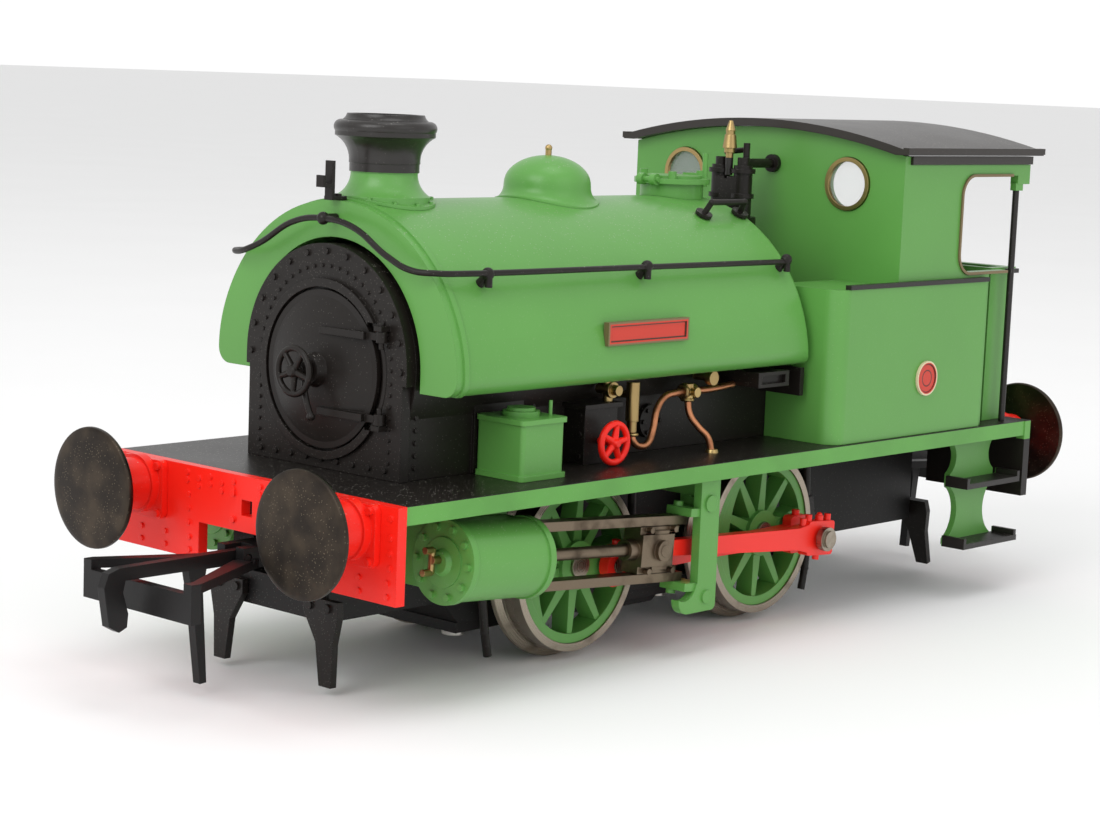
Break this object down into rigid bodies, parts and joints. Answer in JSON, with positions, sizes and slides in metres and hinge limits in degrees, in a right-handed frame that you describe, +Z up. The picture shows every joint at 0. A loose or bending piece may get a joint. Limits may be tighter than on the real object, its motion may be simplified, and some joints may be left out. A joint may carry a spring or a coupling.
{
  "type": "model saddle tank locomotive",
  "caption": "Small-scale model of a four-wheel saddle tank shunting engine with outside cylinders, turning wheels and rods, sprung buffers and automatic couplings.",
  "frame": {"origin": "centre of the length and width, at the height of the lowest point of the wheel flanges", "axes": "+X forwards towards the chimney, +Y to the engine's left, +Z up"},
  "size_m": [0.11, 0.0332, 0.0434],
  "materials": {
    "green_paint": "semi-gloss",
    "black_paint": "satin",
    "red_paint": "semi-gloss",
    "blackened_steel": "satin",
    "brass": "satin",
    "copper": "satin",
    "wheel_green": "satin",
    "tyre_steel": "satin",
    "buffer_steel": "satin",
    "cast_block": "matte",
    "bright_steel": "satin",
    "board": "satin",
    "glass": "clear",
    "black_plastic": "satin"
  },
  "bodies": {
    "engine": {"chassis_block": "cast_block", "keeper_plate": "cast_block", "motor_can": "bright_steel", "circuit_board": "board", "body_screws": "bright_steel", "footplate": "green_paint", "front_beam": "red_paint", "saddle_tank": "green_paint", "boiler_firebox": "black_paint", "smokebox_front": "black_paint", "chimney": "green_paint", "dome": "green_paint", "brass_fittings": "brass", "tank_filler": "green_paint", "steam_fitting": "black_paint", "handrails": "black_paint", "lamp_irons": "black_paint", "cab_body": "green_paint", "cab_roof": "black_paint", "side_bunkers": "green_paint", "window_glazing": "glass", "backhead": "black_paint", "sandboxes": "green_paint", "handwheels": "red_paint", "copper_pipes": "copper", "cylinders": "green_paint", "slide_bars": "blackened_steel", "motion_brackets": "green_paint", "brake_gear": "black_paint", "guard_irons": "black_paint", "cab_steps": "green_paint", "nameplates": "red_paint", "buffer_housings": "red_paint"},
    "rear_wheelset": {"rear_wheels": "wheel_green", "rear_tyres": "tyre_steel"},
    "front_wheelset": {"front_wheels": "wheel_green", "front_tyres": "tyre_steel"},
    "motor_armature": {"armature": "brass"},
    "smokebox_door": {"smokebox_door": "black_paint"},
    "door_handwheel": {"door_handwheel": "black_paint"},
    "left_coupling_rod": {"coupling_rod_left": "red_paint"},
    "left_crosshead_bolt": {"crosshead_bolt_left": "blackened_steel"},
    "left_crosshead": {"crosshead_left": "blackened_steel"},
    "left_piston": {"piston_left": "blackened_steel"},
    "left_rod_bolt": {"rod_bolt_left": "blackened_steel"},
    "left_connecting_rod": {"connecting_rod_left": "red_paint"},
    "right_coupling_rod": {"coupling_rod_right": "red_paint"},
    "right_crosshead_bolt": {"crosshead_bolt_right": "blackened_steel"},
    "right_crosshead": {"crosshead_right": "blackened_steel"},
    "right_piston": {"piston_right": "blackened_steel"},
    "right_rod_bolt": {"rod_bolt_right": "blackened_steel"},
    "right_connecting_rod": {"connecting_rod_right": "red_paint"},
    "front_coupling": {"coupling_bar_front": "black_plastic"},
    "front_coupling_hook": {"coupling_hook_front": "black_plastic"},
    "front_left_buffer": {"buffer_front_left": "buffer_steel"},
    "front_right_buffer": {"buffer_front_right": "buffer_steel"},
    "rear_coupling": {"coupling_bar_rear": "black_plastic"},
    "rear_coupling_hook": {"coupling_hook_rear": "black_plastic"},
    "rear_left_buffer": {"buffer_rear_left": "buffer_steel"},
    "rear_right_buffer": {"buffer_rear_right": "buffer_steel"}
  },
  "joints": [
    {"name": "rear_axle_spin", "type": "hinge", "parent": "engine", "child": "rear_wheelset", "pos_m": [-0.009, 0, 0.0078], "axis": [0, 1, 0], "continuous": true},
    {"name": "front_axle_spin", "type": "hinge", "parent": "engine", "child": "front_wheelset", "pos_m": [0.015, 0, 0.0078], "axis": [0, 1, 0], "continuous": true},
    {"name": "motor_spin", "type": "hinge", "parent": "engine", "child": "motor_armature", "pos_m": [0, 0, 0.01365], "axis": [1, 0, 0], "continuous": true},
    {"name": "left_coupling_rod_turn", "type": "hinge", "parent": "rear_wheelset", "child": "left_coupling_rod", "pos_m": [-0.01249, 0.01082, 0.00756], "axis": [0, 1, 0], "continuous": true},
    {"name": "left_crosshead_bolt_turn", "type": "hinge", "parent": "front_wheelset", "child": "left_crosshead_bolt", "pos_m": [0.01325, 0.0132, 0.00768], "axis": [0, 1, 0], "continuous": true},
    {"name": "left_crosshead_travel", "type": "hinge", "parent": "left_crosshead_bolt", "child": "left_crosshead", "pos_m": [0.01151, 0.0132, 0.00756], "axis": [0, 1, 0], "continuous": true},
    {"name": "left_piston_turn", "type": "hinge", "parent": "left_crosshead", "child": "left_piston", "pos_m": [0.00992, 0.0132, 0.00912], "axis": [0.9976, 0, 0.0698], "continuous": true},
    {"name": "left_rod_bolt_turn", "type": "hinge", "parent": "left_piston", "child": "left_rod_bolt", "pos_m": [0.00992, 0.0132, 0.00912], "axis": [0.9946, -0.0777, 0.0695], "continuous": true},
    {"name": "left_connecting_rod_swing", "type": "hinge", "parent": "left_rod_bolt", "child": "left_connecting_rod", "pos_m": [0.00992, 0.0132, 0.00912], "axis": [0.9976, 0, 0.0698], "continuous": true},
    {"name": "right_coupling_rod_turn", "type": "hinge", "parent": "rear_wheelset", "child": "right_coupling_rod", "pos_m": [-0.00924, -0.01082, 0.01129], "axis": [0, 1, 0], "continuous": true},
    {"name": "right_crosshead_bolt_turn", "type": "hinge", "parent": "front_wheelset", "child": "right_crosshead_bolt", "pos_m": [0.01488, -0.0132, 0.00955], "axis": [0, 1, 0], "continuous": true},
    {"name": "right_crosshead_travel", "type": "hinge", "parent": "right_crosshead_bolt", "child": "right_crosshead", "pos_m": [0.015, -0.0132, 0.0078], "axis": [0, 1, 0], "continuous": true},
    {"name": "right_piston_turn", "type": "hinge", "parent": "right_crosshead", "child": "right_piston", "pos_m": [0.01341, -0.0132, 0.00937], "axis": [0.9976, 0, 0.0698], "continuous": true},
    {"name": "right_rod_bolt_turn", "type": "hinge", "parent": "right_piston", "child": "right_rod_bolt", "pos_m": [0.01341, -0.0132, 0.00937], "axis": [1, 0, -0.0079], "continuous": true},
    {"name": "right_connecting_rod_swing", "type": "hinge", "parent": "right_rod_bolt", "child": "right_connecting_rod", "pos_m": [0.01341, -0.0132, 0.00937], "axis": [0.9963, 0, -0.0856], "continuous": true},
    {"name": "front_left_buffer_spring", "type": "slide", "parent": "engine", "child": "front_left_buffer", "axis": [-1, 0, 0], "range_m": [0, 0.0007], "stiffness_N_per_m": 80},
    {"name": "front_right_buffer_spring", "type": "slide", "parent": "engine", "child": "front_right_buffer", "axis": [-1, 0, 0], "range_m": [0, 0.0007], "stiffness_N_per_m": 80},
    {"name": "front_coupling_swing", "type": "hinge", "parent": "engine", "child": "front_coupling", "pos_m": [0.0355, 0, 0.0102], "axis": [0, 0, 1], "range_deg": [-8, 8]},
    {"name": "front_hook_lift", "type": "hinge", "parent": "front_coupling", "child": "front_coupling_hook", "pos_m": [0.0425, 0, 0.0102], "axis": [0, -1, 0], "range_deg": [0, 14]},
    {"name": "rear_left_buffer_spring", "type": "slide", "parent": "engine", "child": "rear_left_buffer", "axis": [1, 0, 0], "range_m": [0, 0.0007], "stiffness_N_per_m": 80},
    {"name": "rear_right_buffer_spring", "type": "slide", "parent": "engine", "child": "rear_right_buffer", "axis": [1, 0, 0], "range_m": [0, 0.0007], "stiffness_N_per_m": 80},
    {"name": "rear_coupling_swing", "type": "hinge", "parent": "engine", "child": "rear_coupling", "pos_m": [-0.0355, 0, 0.0102], "axis": [0, 0, 1], "range_deg": [-8, 8]},
    {"name": "rear_hook_lift", "type": "hinge", "parent": "rear_coupling", "child": "rear_coupling_hook", "pos_m": [-0.0425, 0, 0.0102], "axis": [0, 1, 0], "range_deg": [0, 14]},
    {"name": "smokebox_door_open", "type": "hinge", "parent": "engine", "child": "smokebox_door", "pos_m": [0.03455, 0.00675, 0.02375], "axis": [0, 0, 1], "range_deg": [0, 100]},
    {"name": "door_handwheel_turn", "type": "hinge", "parent": "smokebox_door", "child": "door_handwheel", "pos_m": [0.037, 0, 0.02375], "axis": [1, 0, 0], "range_deg": [-90, 90]}
  ],
  "couplings": [
    {"joint": "front_axle_spin", "follows": "rear_axle_spin", "ratio": 1},
    {"joint": "motor_spin", "follows": "rear_axle_spin", "ratio": -16},
    {"joint": "left_coupling_rod_turn", "follows": "rear_axle_spin", "ratio": -1},
    {"joint": "left_crosshead_bolt_turn", "follows": "rear_axle_spin", "ratio": -2},
    {"joint": "left_crosshead_travel", "follows": "rear_axle_spin", "ratio": 1},
    {"joint": "left_piston_turn", "follows": "rear_axle_spin", "ratio": 1},
    {"joint": "left_rod_bolt_turn", "follows": "rear_axle_spin", "ratio": -2},
    {"joint": "left_connecting_rod_swing", "follows": "rear_axle_spin", "ratio": 1},
    {"joint": "right_coupling_rod_turn", "follows": "rear_axle_spin", "ratio": -1},
    {"joint": "right_crosshead_bolt_turn", "follows": "rear_axle_spin", "ratio": -2},
    {"joint": "right_crosshead_travel", "follows": "rear_axle_spin", "ratio": 1},
    {"joint": "right_piston_turn", "follows": "rear_axle_spin", "ratio": 1},
    {"joint": "right_rod_bolt_turn", "follows": "rear_axle_spin", "ratio": -2},
    {"joint": "right_connecting_rod_swing", "follows": "rear_axle_spin", "ratio": 1}
  ]
}
